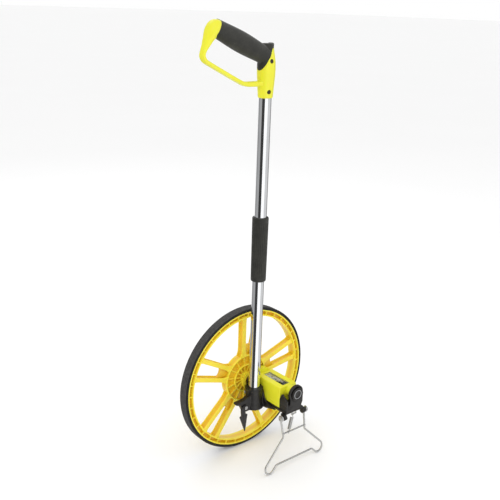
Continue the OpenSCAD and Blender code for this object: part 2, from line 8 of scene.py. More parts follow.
import bmesh
import bpy
from mathutils import Matrix, Vector


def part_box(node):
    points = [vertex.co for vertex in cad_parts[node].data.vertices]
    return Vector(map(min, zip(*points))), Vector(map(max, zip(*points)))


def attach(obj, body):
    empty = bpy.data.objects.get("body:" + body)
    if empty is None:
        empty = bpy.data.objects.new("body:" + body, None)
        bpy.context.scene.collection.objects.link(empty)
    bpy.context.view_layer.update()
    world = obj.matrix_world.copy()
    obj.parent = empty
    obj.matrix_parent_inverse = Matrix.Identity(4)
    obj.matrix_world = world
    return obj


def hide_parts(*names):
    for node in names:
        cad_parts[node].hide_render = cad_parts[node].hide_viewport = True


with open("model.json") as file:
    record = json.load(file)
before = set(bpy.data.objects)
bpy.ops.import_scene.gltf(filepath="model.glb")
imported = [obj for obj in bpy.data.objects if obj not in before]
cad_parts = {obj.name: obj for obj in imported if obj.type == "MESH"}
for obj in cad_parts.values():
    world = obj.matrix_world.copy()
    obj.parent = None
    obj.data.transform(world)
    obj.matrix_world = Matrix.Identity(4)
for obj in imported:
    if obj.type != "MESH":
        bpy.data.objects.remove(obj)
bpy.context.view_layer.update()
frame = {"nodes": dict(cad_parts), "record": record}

MM = 0.001


# ---- Driving dimensions, all from the frame -------------------------------------------------

def span(node):
    """Lowest and highest corner of a CAD node, in millimetres."""
    low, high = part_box(node)
    return Vector(low) / MM, Vector(high) / MM


def middle(node):
    """Middle of a CAD node's box, in millimetres."""
    low, high = span(node)
    return (low + high) / 2


def width(node):
    """Size of a CAD node's box along the travel, in millimetres."""
    low, high = span(node)
    return (high - low).x


def side_plane(x, y, z):
    """A frame at (x, y, z) whose local x is the travel, local y is up and local z points outboard."""
    return Matrix(((1, 0, 0, x), (0, 0, -1, y), (0, 1, 0, z), (0, 0, 0, 1)))


def end_plane(x):
    """A frame at x and the axle's height: local x points outboard, local y is up, local z is the travel."""
    return Matrix(((0, 0, 1, x), (-1, 0, 0, 0), (0, 1, 0, WHEEL_R), (0, 0, 0, 1)))


WHEEL_R = span("tyre")[1].z / 2
RIM_R = width("spoked_wheel") / 2
HALF_W = span("tyre")[1].y
COLUMN = middle("lower_tube")
TUBE_R = width("lower_tube") / 2
SHAFT = middle("counter_shaft")
BOX_LOW, BOX_HIGH = span("counter_housing")
SLEEVE_LOW, SLEEVE_HIGH = span("lock_sleeve")
DIGIT_R = width("number_wheel_2") / 2
FOLD_Z = middle("hinge_pin").z
PIVOTS = middle("stand_pivots")
KNOB = middle("reset_knob")
POINTER = middle("pointer_screw")

AXLE = side_plane(0, 0, WHEEL_R)
KNOB_AXIS = side_plane(KNOB.x, 0, KNOB.z)
COLUMN_AXIS = Matrix.Translation((COLUMN.x, COLUMN.y, WHEEL_R))
COLUMN_SIDE = side_plane(COLUMN.x, COLUMN.y, WHEEL_R)
STAND_LEAN = math.radians(5.7)
STAND = Matrix.Translation(PIVOTS) @ Matrix.Rotation(math.pi / 2 - STAND_LEAN, 4, "X")


# ---- Mesh tools ------------------------------------------------------------------------------

def rounded(points, radius, steps=4, closed=True):
    """The outline or path with each corner turned into an arc; a radius may be given per corner."""
    result = []
    count = len(points)
    for i, point in enumerate(points):
        corner = Vector(point)
        size = radius[i] if isinstance(radius, (list, tuple)) else radius
        if not closed and i in (0, count - 1):
            result.append(corner)
            continue
        back = Vector(points[i - 1]) - corner
        on = Vector(points[(i + 1) % count]) - corner
        angle = back.angle(on)
        if size <= 0 or angle > math.radians(176):
            result.append(corner)
            continue
        cut = min(size / math.tan(angle / 2), 0.48 * back.length, 0.48 * on.length)
        start = corner + back.normalized() * cut
        end = corner + on.normalized() * cut
        for k in range(steps + 1):
            t = k / steps
            result.append(start * (1 - t) ** 2 + corner * 2 * t * (1 - t) + end * t ** 2)
    return result


def loft(bm, rings):
    """Skins a list of rings of points and closes the two ends."""
    rows = [[bm.verts.new(p) for p in ring] for ring in rings]
    count = len(rows[0])
    for a, b in zip(rows, rows[1:]):
        for j in range(count):
            k = (j + 1) % count
            bm.faces.new((a[j], a[k], b[k], b[j]))
    bm.faces.new(list(reversed(rows[0])))
    bm.faces.new(rows[-1])


def lathe(bm, profile, place, segments, shape=None):
    """Turns a closed profile of (radius, height) about the local z of place.

    Where a shape is given, it works out each point's radius from its radius, height and angle.
    """
    rings = []
    for i in range(segments):
        angle = math.tau * i / segments
        ring = []
        for radius, height in profile:
            r = shape(radius, height, angle) if shape else radius
            ring.append(bm.verts.new(place @ Vector((r * math.cos(angle), r * math.sin(angle), height))))
        rings.append(ring)
    for i in range(segments):
        a, b = rings[i], rings[(i + 1) % segments]
        for j in range(len(profile)):
            k = (j + 1) % len(profile)
            bm.faces.new((a[j], b[j], b[k], a[k]))


def inset(corners, amount):
    """The outline moved inwards by an amount, and whether each corner sticks out."""
    points = [Vector(p[:2]) for p in corners]
    area = sum(a.x * b.y - b.x * a.y for a, b in zip(points, points[1:] + points[:1]))
    sign = 1 if area > 0 else -1
    moved, convex = [], []
    for i, point in enumerate(points):
        before = (point - points[i - 1]).normalized()
        after = (points[(i + 1) % len(points)] - point).normalized()
        inward = [Vector((-d.y, d.x)) * sign for d in (before, after)]
        moved.append(point + (inward[0] + inward[1]) * amount / max(0.2, 1 + inward[0].dot(inward[1])))
        convex.append((before.x * after.y - before.y * after.x) * sign > 0)
    return moved, convex


def prism(bm, corners, radius, low, high, place, edge=0.5, steps=3):
    """Extrudes an outline of local x and y between two heights, with round corners and rims."""
    edge = min(edge, 0.49 * (high - low))
    sizes = radius if isinstance(radius, (list, tuple)) else [radius] * len(corners)
    layers = []
    for k in range(steps + 1):
        turn = math.pi / 2 * k / steps
        layers.append((edge * (1 - math.sin(turn)), low + edge * (1 - math.cos(turn))))
    layers += [(amount, low + high - height) for amount, height in reversed(layers)]
    rings = []
    for amount, height in layers:
        points, convex = inset(corners, amount)
        turned_sizes = [max(0.03, r - amount if out else r + amount) if r else 0
                        for r, out in zip(sizes, convex)]
        rings.append([place @ Vector((*p, height)) for p in rounded(points, turned_sizes, 4)])
    loft(bm, rings)


def slab(bm, low, high, place, corner, edge):
    """A block between two points, its outline's corners rounded and then the rims of its two ends."""
    outline = [(low[0], low[1]), (high[0], low[1]), (high[0], high[1]), (low[0], high[1])]
    prism(bm, outline, corner, low[2], high[2], place, edge)


def tube(bm, points, radius, sides):
    """A round wire along a path of points, with domed ends, its section carried without twist."""
    last = len(points) - 1
    tangents = [(points[min(i + 1, last)] - points[max(i - 1, 0)]).normalized() for i in range(last + 1)]
    side = tangents[0].orthogonal().normalized()
    rings = []
    for i, (point, tangent) in enumerate(zip(points, tangents)):
        side = (side - tangent * side.dot(tangent)).normalized()
        across = tangent.cross(side)
        domes = [(0, 1)]
        if i == 0:
            domes = [(-0.85, 0.35), (-0.6, 0.75), (0, 1)]
        if i == last:
            domes = [(0, 1), (0.6, 0.75), (0.85, 0.35)]
        for push, scale in domes:
            centre = point + tangent * push * radius
            rings.append([centre + (side * math.cos(a) + across * math.sin(a)) * radius * scale
                          for a in (math.tau * k / sides for k in range(sides))])
    loft(bm, rings)


def add_object(name, data):
    """A new object in the scene that shows a mesh, a curve, a lamp or a camera."""
    obj = bpy.data.objects.new(name, data)
    bpy.context.scene.collection.objects.link(obj)
    return obj


def as_mesh(bm, name):
    """A mesh with the shape's points and faces; the shape is used up."""
    mesh = bpy.data.meshes.new(name)
    bm.to_mesh(mesh)
    bm.free()
    return mesh


def as_object(bm):
    """A temporary object from a shape in millimetres."""
    bmesh.ops.remove_doubles(bm, verts=bm.verts, dist=0.002)
    bmesh.ops.dissolve_degenerate(bm, edges=bm.edges, dist=0.001)
    bmesh.ops.recalc_face_normals(bm, faces=bm.faces)
    mesh = as_mesh(bm, "work")
    mesh.transform(Matrix.Scale(MM, 4))
    return add_object("work", mesh)


def bake_modifiers(obj):
    """Replaces an object's mesh by the result of its modifiers."""
    graph = bpy.context.evaluated_depsgraph_get()
    mesh = bpy.data.meshes.new_from_object(obj.evaluated_get(graph))
    obj.modifiers.clear()
    obj.data = mesh
    return obj


def blended(bm, voxel, smooth, keep):
    """One skin round overlapping shapes, with soft inner corners. Voxel size in millimetres."""
    obj = as_object(bm)
    skin = obj.modifiers.new("Skin", "REMESH")
    skin.mode = "VOXEL"
    skin.voxel_size = voxel * MM
    soft = obj.modifiers.new("Soft", "SMOOTH")
    soft.factor = 0.5
    soft.iterations = smooth
    fewer = obj.modifiers.new("Fewer", "DECIMATE")
    fewer.ratio = keep
    return bake_modifiers(obj)


def carve(obj, tool, *settings):
    """Cuts out of an object the shape that a mesh tool makes with the given settings."""
    bm = bmesh.new()
    tool(bm, *settings)
    cutter = as_object(bm)
    cut = obj.modifiers.new("Cut", "BOOLEAN")
    cut.operation = "DIFFERENCE"
    cut.solver = "EXACT"
    cut.object = cutter
    bake_modifiers(obj)
    bpy.data.objects.remove(cutter)


def piece(name, shape, body, slot, nodes=(), sharp=38):
    """Finishes a piece: names it, paints it, shades it and puts it on its body.

    The nodes are the CAD nodes that it stands in for, and sharp is the angle of its crisp edges.
    """
    obj = as_object(shape) if isinstance(shape, bmesh.types.BMesh) else shape
    obj.name = name
    obj.data.name = name
    obj.data.materials.clear()
    obj.data.materials.append(LOOKS[slot])
    obj.data.shade_smooth()
    obj.data.set_sharp_from_angle(angle=math.radians(sharp))
    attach(obj, body)
    if nodes:
        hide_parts(*nodes)


# ---- Materials -------------------------------------------------------------------------------

def srgb(red, green, blue):
    """A display colour, 0 to 255, as linear red, green and blue."""
    levels = (red / 255, green / 255, blue / 255)
    return tuple(((c + 0.055) / 1.055) ** 2.4 if c > 0.04 else c / 12.92 for c in levels)


def scaled(colour, factor):
    """A colour made lighter or darker."""
    return tuple(min(1.0, c * factor) for c in colour)


class Look:
    """A material in the making: a Principled shader, and the patterns that feed it."""

    def __init__(self, name, **sockets):
        self.material = bpy.data.materials.new(name)
        self.material.use_nodes = True
        self.tree = self.material.node_tree
        self.shader = self.tree.nodes["Principled BSDF"]
        for socket, value in sockets.items():
            self.shader.inputs[socket.replace("_", " ")].default_value = value
        self.place = self.tree.nodes.new("ShaderNodeTexCoord").outputs["Object"]

    def feed(self, socket, value):
        """Links another node's output to a socket, or sets the socket to a plain value."""
        if isinstance(value, bpy.types.NodeSocket):
            self.tree.links.new(value, socket)
        else:
            socket.default_value = value

    def node(self, kind, settings=None, **inputs):
        """A node of a kind, with its settings and with its named inputs fed."""
        made = self.tree.nodes.new(kind)
        for key, value in (settings or {}).items():
            setattr(made, key, value)
        for key, value in inputs.items():
            self.feed(made.inputs[key.replace("_", " ")], value)
        return made

    def noise(self, size, detail=3, stretch=(1, 1, 1)):
        """Soft noise whose features are about size millimetres, longer along stretched axes."""
        placed = self.node("ShaderNodeMapping", Vector=self.place, Scale=[1 / s for s in stretch])
        return self.node("ShaderNodeTexNoise", Vector=placed.outputs[0], Scale=1 / (size * MM),
                         Detail=detail).outputs["Fac"]

    def cells(self, size):
        """Distance to the nearest of many scattered points about size millimetres apart."""
        return self.node("ShaderNodeTexVoronoi", Vector=self.place, Scale=1 / (size * MM)).outputs["Distance"]

    def remap(self, value, low, high, to_low=0.0, to_high=1.0):
        """A value stretched from one range to another."""
        return self.node("ShaderNodeMapRange", Value=value, **{
            "From_Min": low, "From_Max": high, "To_Min": to_low, "To_Max": to_high}).outputs[0]

    def math(self, operation, a, b=0.0):
        """The result of an operation on one or two values."""
        made = self.node("ShaderNodeMath", {"operation": operation})
        for socket, value in zip(made.inputs, (a, b)):
            self.feed(socket, value)
        return made.outputs[0]

    def mix(self, factor, first, second):
        """Mixes two colours, each a tuple or another node's colour."""
        made = self.node("ShaderNodeMix", {"data_type": "RGBA"}, Factor=factor)
        for socket, value in zip(made.inputs[6:8], (first, second)):
            self.feed(socket, (*value, 1) if isinstance(value, tuple) else value)
        return made.outputs[2]

    def edges(self, radius):
        """1 along sharp outer edges and corners, 0 on flat ground."""
        round_normal = self.node("ShaderNodeBevel", {"samples": 4}, Radius=radius * MM).outputs[0]
        flat_normal = self.node("ShaderNodeNewGeometry").outputs["Normal"]
        dot = self.node("ShaderNodeVectorMath", {"operation": "DOT_PRODUCT"})
        self.tree.links.new(round_normal, dot.inputs[0])
        self.tree.links.new(flat_normal, dot.inputs[1])
        return self.remap(dot.outputs["Value"], 0.995, 0.86)

    def set(self, socket, value):
        """Feeds one of the shader's own inputs."""
        self.tree.links.new(value, self.shader.inputs[socket])

    def bump(self, height, depth, strength=1.0):
        """Raises the surface by a pattern, depth millimetres high."""
        made = self.node("ShaderNodeBump", Strength=strength, Distance=depth * MM, Height=height)
        previous = self.shader.inputs["Normal"]
        if previous.is_linked:
            self.tree.links.new(previous.links[0].from_socket, made.inputs["Normal"])
        self.tree.links.new(made.outputs[0], previous)


def moulded(name, colour, rough, grain=0.5, depth=0.02, wear=1.15, blotch=60, recess=None, **sockets):
    """Injection moulded plastic: faint flow marks, fine grain, rubbed edges and hairline scratches.

    Near the wheel's mid plane a recess colour is painted in as shade: the deeper orange of the shaded
    recesses.
    """
    look = Look(name, Roughness=rough, **sockets)
    flow = look.remap(look.noise(blotch, 4, (1, 1, 2.5)), 0.3, 0.7)
    tint = look.mix(flow, scaled(colour, 0.93), scaled(colour, 1.04))
    # Painted shade: a deeper orange colour near the mid plane, where the recesses lie in shade.
    if recess:
        across = look.node("ShaderNodeSeparateXYZ", Vector=look.place).outputs["Y"]
        out_of_painted_shade = look.remap(look.math("ABSOLUTE", across), PAINTED_SHADE_FROM * MM, PAINTED_SHADE_TO * MM)
        tint = look.mix(out_of_painted_shade, look.mix(flow, scaled(recess, 0.93), scaled(recess, 1.04)), tint)
    scratch = look.remap(look.noise(1.1, 2, (1, 14, 3)), 0.66, 0.72)
    tint = look.mix(look.math("MULTIPLY", scratch, 0.12), tint, scaled(colour, wear))
    rubbed = look.math("MULTIPLY", look.edges(1.2), look.remap(look.noise(7, 5), 0.4, 0.62))
    look.set("Base Color", look.mix(rubbed, tint, scaled(colour, wear)))
    gloss = look.remap(look.noise(14, 5), 0.3, 0.7, rough - 0.06, rough + 0.08)
    look.set("Roughness", look.math("ADD", gloss, look.math("MULTIPLY", scratch, 0.08)))
    look.bump(look.noise(grain, 2), depth, 0.6)
    look.bump(look.noise(9, 2), 0.05, 0.35)
    return look.material


def stippled(name, colour, rough, cell, depth, dust):
    """Soft grip rubber: a pebbled skin with pale dust in its low places."""
    look = Look(name, Specular_IOR_Level=0.35, Sheen_Weight=0.12, Sheen_Roughness=0.5)
    pebble = look.cells(cell)
    wide = look.noise(22, 5)
    base = look.mix(look.remap(wide, 0.3, 0.7), scaled(colour, 0.86), scaled(colour, 1.14))
    low = look.math("MULTIPLY", look.remap(pebble, 0.5, 0.85), look.remap(wide, 0.42, 0.66))
    look.set("Base Color", look.mix(look.math("MULTIPLY", low, 0.5), base, dust))
    look.set("Roughness", look.remap(look.noise(6, 4), 0.3, 0.7, rough - 0.07, rough + 0.07))
    look.bump(pebble, -depth, 0.8)
    look.bump(look.noise(0.35, 2), depth * 0.4, 0.5)
    return look.material


def tyre_rubber():
    """Solid tyre: near-black walls, and a tread that the ground has rubbed grey."""
    dark, grey = srgb(27, 26, 25), srgb(70, 69, 68)
    look = Look("tyre_rubber", Specular_IOR_Level=0.3)
    parts = look.node("ShaderNodeSeparateXYZ", Vector=look.place).outputs
    height = look.math("SUBTRACT", parts["Z"], WHEEL_R * MM)
    square = look.math("ADD", look.math("POWER", parts["X"], 2.0), look.math("POWER", height, 2.0))
    reach = look.math("SQRT", square)
    rough_edge = look.math("MULTIPLY", look.math("SUBTRACT", look.noise(3, 4), 0.5), 0.0012)
    tread = look.remap(look.math("ADD", reach, rough_edge), (WHEEL_R - 1.6) * MM, (WHEEL_R - 0.3) * MM)
    scuffed = look.mix(look.remap(look.noise(5, 6), 0.35, 0.65), scaled(grey, 0.8), scaled(grey, 1.2))
    walls = look.mix(look.remap(look.noise(18, 5), 0.35, 0.7), dark, scaled(dark, 1.6))
    look.set("Base Color", look.mix(tread, walls, scuffed))
    look.set("Roughness", look.remap(look.noise(4, 4), 0.3, 0.7, 0.62, 0.85))
    look.bump(look.noise(0.8, 4), 0.08, 0.7)
    return look.material


def polished(name, colour, rough, streak, haze):
    """Plated metal: clear reflections, faint drawing lines along z, and a few hazy patches."""
    look = Look(name, Metallic=1.0)
    wide = look.noise(35, 5)
    look.set("Base Color", look.mix(look.remap(wide, 0.35, 0.7), colour, scaled(colour, 0.93)))
    specks = look.remap(look.noise(1.6, 3), 0.7, 0.76, 0.0, haze * 2)
    cloud = look.remap(wide, 0.45, 0.75, rough, rough + haze)
    look.set("Roughness", look.math("ADD", cloud, specks))
    look.bump(look.noise(0.5, 2, (1, 1, 60)), streak, 0.4)
    return look.material


def plated(name, colour, rough, grain, depth):
    """Zinc-plated or machined metal with a fine uneven grain and darker low places."""
    look = Look(name, Metallic=1.0)
    fine = look.noise(grain, 5)
    tone = look.mix(look.remap(fine, 0.3, 0.7), scaled(colour, 0.8), scaled(colour, 1.1))
    bright = look.math("MULTIPLY", look.edges(0.5), 0.6)
    look.set("Base Color", look.mix(bright, tone, scaled(colour, 1.35)))
    look.set("Roughness", look.remap(look.noise(grain * 4, 4), 0.3, 0.7, rough - 0.08, rough + 0.1))
    look.bump(fine, depth, 0.6)
    return look.material


def clear_lens():
    """Clear moulded lens with faint finger smears."""
    look = Look("clear_lens", IOR=1.46, Transmission_Weight=1.0)
    look.set("Base Color", look.mix(look.noise(20, 3), (0.97, 0.98, 0.98), (0.9, 0.93, 0.93)))
    look.set("Roughness", look.remap(look.noise(6, 5), 0.45, 0.75, 0.02, 0.16))
    look.bump(look.noise(12, 2), 0.02, 0.3)
    return look.material


BODY_COLOUR = srgb(228, 225, 42)
WHEEL_COLOUR = srgb(243, 224, 56)
# Painted shade: the deeper orange of the wheel's recesses where they lie in shade.
PAINTED_RECESS_SHADE = srgb(236, 192, 34)
# Between these distances from the mid plane, in millimetres, the painted recess shade gives way.
PAINTED_SHADE_FROM, PAINTED_SHADE_TO = 2.2, 9

LOOKS = {
    "tyre_rubber": tyre_rubber(),
    "wheel_yellow": moulded("wheel_yellow", WHEEL_COLOUR, 0.36, 0.6, 0.02, 1.12, 45, PAINTED_RECESS_SHADE,
                            Subsurface_Weight=0.12, Subsurface_Scale=0.004),
    "housing_yellow": moulded("housing_yellow", BODY_COLOUR, 0.34, 0.5, 0.015, 1.1, 55,
                              Subsurface_Weight=0.08, Subsurface_Scale=0.003),
    "black_plastic": moulded("black_plastic", srgb(26, 23, 21), 0.42, 0.55, 0.05, 2.6, 30),
    "grip_rubber": stippled("grip_rubber", srgb(38, 38, 33), 0.62, 1.1, 0.09, srgb(78, 76, 69)),
    "chrome": polished("chrome", (0.84, 0.85, 0.87), 0.05, 0.003, 0.05),
    "steel": plated("steel", (0.55, 0.55, 0.54), 0.3, 0.7, 0.012),
    "hinge_metal": plated("hinge_metal", (0.5, 0.51, 0.52), 0.45, 1.4, 0.05),
    "black_oxide": plated("black_oxide", (0.1, 0.09, 0.07), 0.42, 0.8, 0.02),
    "bush_bronze": plated("bush_bronze", (0.52, 0.36, 0.17), 0.4, 0.5, 0.02),
    "white_plastic": moulded("white_plastic", srgb(226, 226, 220), 0.4, 0.5, 0.01, 1.05, 25),
    "dark_digit": moulded("dark_digit", srgb(34, 34, 34), 0.4, 0.5, 0.01, 2.0, 25),
    "clear_window": clear_lens(),
}


def paint_frame():
    """Gives every CAD node its record slot's finish, and the screws in the handle a blackened one."""
    for entry in frame["record"]["subparts"]:
        obj = frame["nodes"][entry["node"]]
        finish = "black_oxide" if entry["node"] == "handle_screws" else entry["material_slot"]
        obj.data.materials.clear()
        obj.data.materials.append(LOOKS[finish])


# ---- Road wheel ------------------------------------------------------------------------------

def tyre():
    """Solid tyre with rounded shoulders and four shallow grooves round its tread."""
    bm = bmesh.new()
    shoulder, groove, depth = 2.2, 0.55, 0.5
    tread = WHEEL_R - 0.06
    outer = [(tread - shoulder, -HALF_W), (tread, shoulder - HALF_W)]
    for k in range(4):
        mid = (k - 1.5) * 4.4
        outer += [(tread, mid - 2 * groove), (tread - depth, mid - groove),
                  (tread - depth, mid + groove), (tread, mid + 2 * groove)]
    outer += [(tread, HALF_W - shoulder), (tread - shoulder, HALF_W)]
    bead = [(RIM_R, HALF_W - 0.3), (RIM_R - 0.4, 0), (RIM_R, 0.3 - HALF_W)]
    lathe(bm, rounded(outer + bead, 0.9, 3), AXLE, 288)
    piece("tyre_body", bm, "road_wheel", "tyre_rubber", ["tyre"], 50)


# Radii of the rim's inner wall and of the hub's parts, in millimetres.
RIM_IN = RIM_R - 13
HUB_R = 53
RING_R = 28.5
BOSS_R = 14
BORE_R = 8
# Thickness of a wall, and half the width of the web and of the hub.
WALL = 3
WEB = 2
HUB_SIDE = 9
# The spokes: where the first pair points, and how far each is from its pair's middle, at hub and rim.
SPOKE_PAIRS = 5
FIRST_PAIR = math.radians(12.7)
PAIR_IN, PAIR_OUT = 12.5, 21
RIM_RIBS = 36


def turned(angle, x=0, y=0):
    """The axle's frame turned about the axle, then moved along its own x and y."""
    return AXLE @ Matrix.Rotation(angle, 4, "Z") @ Matrix.Translation((x, y, 0))


def rim(bm):
    """Two walls joined by a web, with a rolled lip at each edge."""
    side = HALF_W
    h_shape = [(RIM_IN, -side), (RIM_IN + WALL, -side), (RIM_IN + WALL, -WEB), (RIM_R - WALL, -WEB),
               (RIM_R - WALL, -side), (RIM_R, -side), (RIM_R, side), (RIM_R - WALL, side),
               (RIM_R - WALL, WEB), (RIM_IN + WALL, WEB), (RIM_IN + WALL, side), (RIM_IN, side)]
    lathe(bm, rounded(h_shape, 1.1, 4), AXLE, 240)
    for i in range(RIM_RIBS):
        place = turned(math.tau * i / RIM_RIBS) @ Matrix.Rotation(math.pi / 2, 4, "Y")
        top = side - 1.8
        outline = [(-top, -1.0), (top, -1.0), (top, 1.0), (-top, 1.0)]
        prism(bm, outline, 0.9, RIM_IN + 1, RIM_R - 1, place, 0.1, 1)


def spoke(bm, pair, side):
    """One spoke of I section, wider where it meets the hub and the rim."""
    lean = math.atan((PAIR_OUT - PAIR_IN) / (RIM_IN - HUB_R))
    place = turned(pair, HUB_R, side * PAIR_IN) @ Matrix.Rotation(side * lean, 4, "Z")
    length = (RIM_IN - HUB_R) / math.cos(lean)
    half, deep, core, flange = 4.75, 8, 2, 3
    section = [(-half, deep), (-half, deep - flange), (-core, deep - flange), (-core, flange - deep),
               (-half, flange - deep), (-half, -deep), (half, -deep), (half, flange - deep),
               (core, flange - deep), (core, deep - flange), (half, deep - flange), (half, deep)]
    outline = rounded(section, 1.0, 3)
    stations = [(-3, 1.75), (1, 1.6), (4, 1.28), (9, 1.07), (16, 1), (length - 14, 1), (length - 8, 1.06),
                (length - 4, 1.24), (length - 1, 1.5), (length + 2, 1.7)]
    loft(bm, [[place @ Vector((x, p.x * wide, p.y)) for p in outline] for x, wide in stations])


def pair_web(bm, pair):
    """The plate that closes the fork of a pair, ending in a hollow curve."""
    reach, deep, half = 29, 7, PAIR_IN + 2.2
    hollow = [(reach - deep * (1 - (k / 8) ** 2), -half * k / 8) for k in range(-8, 9)]
    prism(bm, [(-3, PAIR_IN)] + hollow + [(-3, -PAIR_IN)], 0, -WEB, WEB, turned(pair, HUB_R), 0.9)


def hub(bm):
    """Hub disc with its outer wall, ring and bored boss, and the ribs between them."""
    profile = [(BORE_R, -WEB), (BORE_R, 14), (BOSS_R, 14), (BOSS_R, WEB), (RING_R, WEB), (RING_R, HUB_SIDE),
               (RING_R + WALL, HUB_SIDE), (RING_R + WALL, WEB), (HUB_R - WALL, WEB), (HUB_R - WALL, HUB_SIDE),
               (HUB_R, HUB_SIDE), (HUB_R, -HUB_SIDE), (HUB_R - WALL, -HUB_SIDE), (HUB_R - WALL, -WEB),
               (RING_R + WALL, -WEB), (RING_R + WALL, -HALF_W), (RING_R, -HALF_W), (RING_R, -WEB)]
    lathe(bm, rounded(profile, 1.0, 4), AXLE, 144)
    for j in range(SPOKE_PAIRS):
        for i in range(3):
            angle = FIRST_PAIR + (i + 0.5 + 3 * j) * math.tau / (3 * SPOKE_PAIRS)
            place = turned(angle) @ Matrix.Rotation(math.pi / 2, 4, "Y")
            outer = [(-7, -1.4), (7, -1.4), (7, 1.4), (-7, 1.4)]
            inner = [(-7, -1.4), (0, -1.4), (0, 1.4), (-7, 1.4)]
            prism(bm, outer, 1.1, RING_R + 1, HUB_R - 1, place, 0.1, 1)
            prism(bm, inner, 1.1, BOSS_R - 1, RING_R + 1, place, 0.1, 1)


def wheel_moulding():
    """The yellow moulding of rim, paired spokes and ribbed hub."""
    bm = bmesh.new()
    rim(bm)
    for i in range(SPOKE_PAIRS):
        pair = FIRST_PAIR + i * math.tau / SPOKE_PAIRS
        for side in (-1, 1):
            spoke(bm, pair, side)
        pair_web(bm, pair)
    hub(bm)
    piece("wheel_moulding", bm, "road_wheel", "wheel_yellow", ["spoked_wheel"])


def hub_cap():
    """Shallow pressed cap on the far side, with two raised rings."""
    bm = bmesh.new()
    r, back = RING_R, -HALF_W
    profile = [(0, back + 0.5), (9, back + 0.5), (10, back), (13, back), (14, back + 0.5), (21, back + 0.5),
               (22, back), (r, back), (r, -4.5), (r - 2, -4.5), (r - 2, back + 1.6), (0, back + 1.6)]
    lathe(bm, rounded(profile, 0.4, 3), AXLE, 96)
    piece("hub_cap_disc", bm, "road_wheel", "wheel_yellow", ["hub_cap"])


# ---- Column ----------------------------------------------------------------------------------

def column_tube(name, node, body, roll_top, roll_bottom):
    """A drawn tube with its ends turned in slightly."""
    low, high = span(node)
    wall, roll = 1.2, 0.5
    bottom = roll if roll_bottom else 0.0
    top = roll if roll_top else 0.0
    profile = [(TUBE_R - bottom, low.z), (TUBE_R, low.z + 1.2), (TUBE_R, high.z - 1.2),
               (TUBE_R - top, high.z), (TUBE_R - wall, high.z), (TUBE_R - wall, low.z)]
    place = Matrix.Translation((COLUMN.x, COLUMN.y, 0))
    bm = bmesh.new()
    lathe(bm, rounded(profile, 0.3, 3), place, 128)
    piece(name, bm, body, "chrome", [node], 50)


def lock_sleeve():
    """Ribbed sleeve over the fold, tapering downwards, with a smooth collar at each end."""
    length = SLEEVE_HIGH.z - SLEEVE_LOW.z
    top_r = (SLEEVE_HIGH.x - SLEEVE_LOW.x) / 2
    bore, relief, flutes, deep, collar = TUBE_R + 0.3, 2.9, 26, 0.75, 8
    relief_from = FOLD_Z - SLEEVE_LOW.z - 12
    steps = 40
    outer = [(top_r - 1.9, 0), (top_r - 1.1, 1.0)]
    for k in range(steps + 1):
        h = 1.6 + (length - 3.2) * k / steps
        outer.append((top_r - 0.9 + 0.9 * h / length, h))
    outer += [(top_r - 0.3, length - 0.7), (top_r - 1.0, length)]
    inner = [(bore, length), (bore, relief_from + 8), (bore, relief_from), (bore, 0)]

    def shape(radius, height, angle):
        if radius > bore + 0.01:
            ends = min(1, max(0, (height - collar) / 2), max(0, (length - collar - height) / 2))
            if 1.4 < height < length - 1.4:
                groove = max(0, math.cos(flutes * angle)) ** 2
                return radius - deep * groove * ends - 0.5 * (1 - ends) * (0.5 < ends)
            return radius
        opened = max(0, min(1, (height - relief_from) / 8))
        return radius + relief * opened * max(0, math.cos(angle))

    bm = bmesh.new()
    lathe(bm, outer + inner, Matrix.Translation((COLUMN.x, COLUMN.y, SLEEVE_LOW.z)), 260, shape)
    piece("sleeve_grip", bm, "lock_sleeve", "grip_rubber", ["lock_sleeve"], 55)


# Heights from the axle, and the socket's radius.
FOOT = -50
MOUTH = -4
SOCKET_R = 18


def column_bracket():
    """Moulded bracket: socket on a flared foot, pointer arm, counter shelf and axle boss in one flow."""
    bm = bmesh.new()
    flare = 3
    lathe(bm, [(0, FOOT), (SOCKET_R + flare, FOOT), (SOCKET_R + flare, FOOT + 4), (SOCKET_R + 1, FOOT + 9),
               (SOCKET_R, FOOT + 14), (SOCKET_R, MOUTH - 3.5), (SOCKET_R + 1, MOUTH - 2.5),
               (SOCKET_R + 1, MOUTH), (0, MOUTH)], COLUMN_AXIS, 72)
    arm = [(-10, -18), (-22, -19), (-31.2, -23), (-52.9, -24), (-52.9, -29), (-42.2, -32),
           (-33.2, FOOT + 1), (-25.2, FOOT - 1), (-10, FOOT)]
    prism(bm, arm, 2, -3, 9, COLUMN_SIDE, 1.2)
    shelf_top = BOX_LOW.z - WHEEL_R - 6
    slab(bm, (-24, FOOT, 30), (SHAFT.x, shelf_top, 56), AXLE, 2, 2)
    slab(bm, (-9, -30, 22.6), (9, 0, 30.5), AXLE, 1, 0.5)
    lathe(bm, [(0, 22.6), (9, 22.6), (9, 31), (0, 31)], AXLE, 48)
    gusset = [(50, FOOT), (50, shelf_top), (86, shelf_top), (60, FOOT)]
    prism(bm, gusset, 2, 12, 32, end_plane(0), 1.5)
    web = [(44, -8), (51, -8), (56, -18), (59, -27), (65, -34.5), (74, -38), (95, -39.5),
           (95, -41.5), (80, -45), (66, -49.5), (60, FOOT), (44, FOOT)]
    side = BOX_LOW.x - 1.55
    prism(bm, web, 1, side - 3.4, side, end_plane(0), 0.8)
    obj = blended(bm, 0.9, 9, 0.3)
    bore, seat = TUBE_R + 0.05, 24.2
    carve(obj, lathe, [(0, -32), (bore, -32), (bore, 5), (0, 5)], COLUMN_AXIS, 96)
    carve(obj, slab, (side, shelf_top - 0.05, seat), (BOX_HIGH.x + 30, 40, 99), AXLE, 0.3, 0.2)
    piece("bracket_moulding", obj, "frame", "black_plastic", ["column_bracket"], 55)


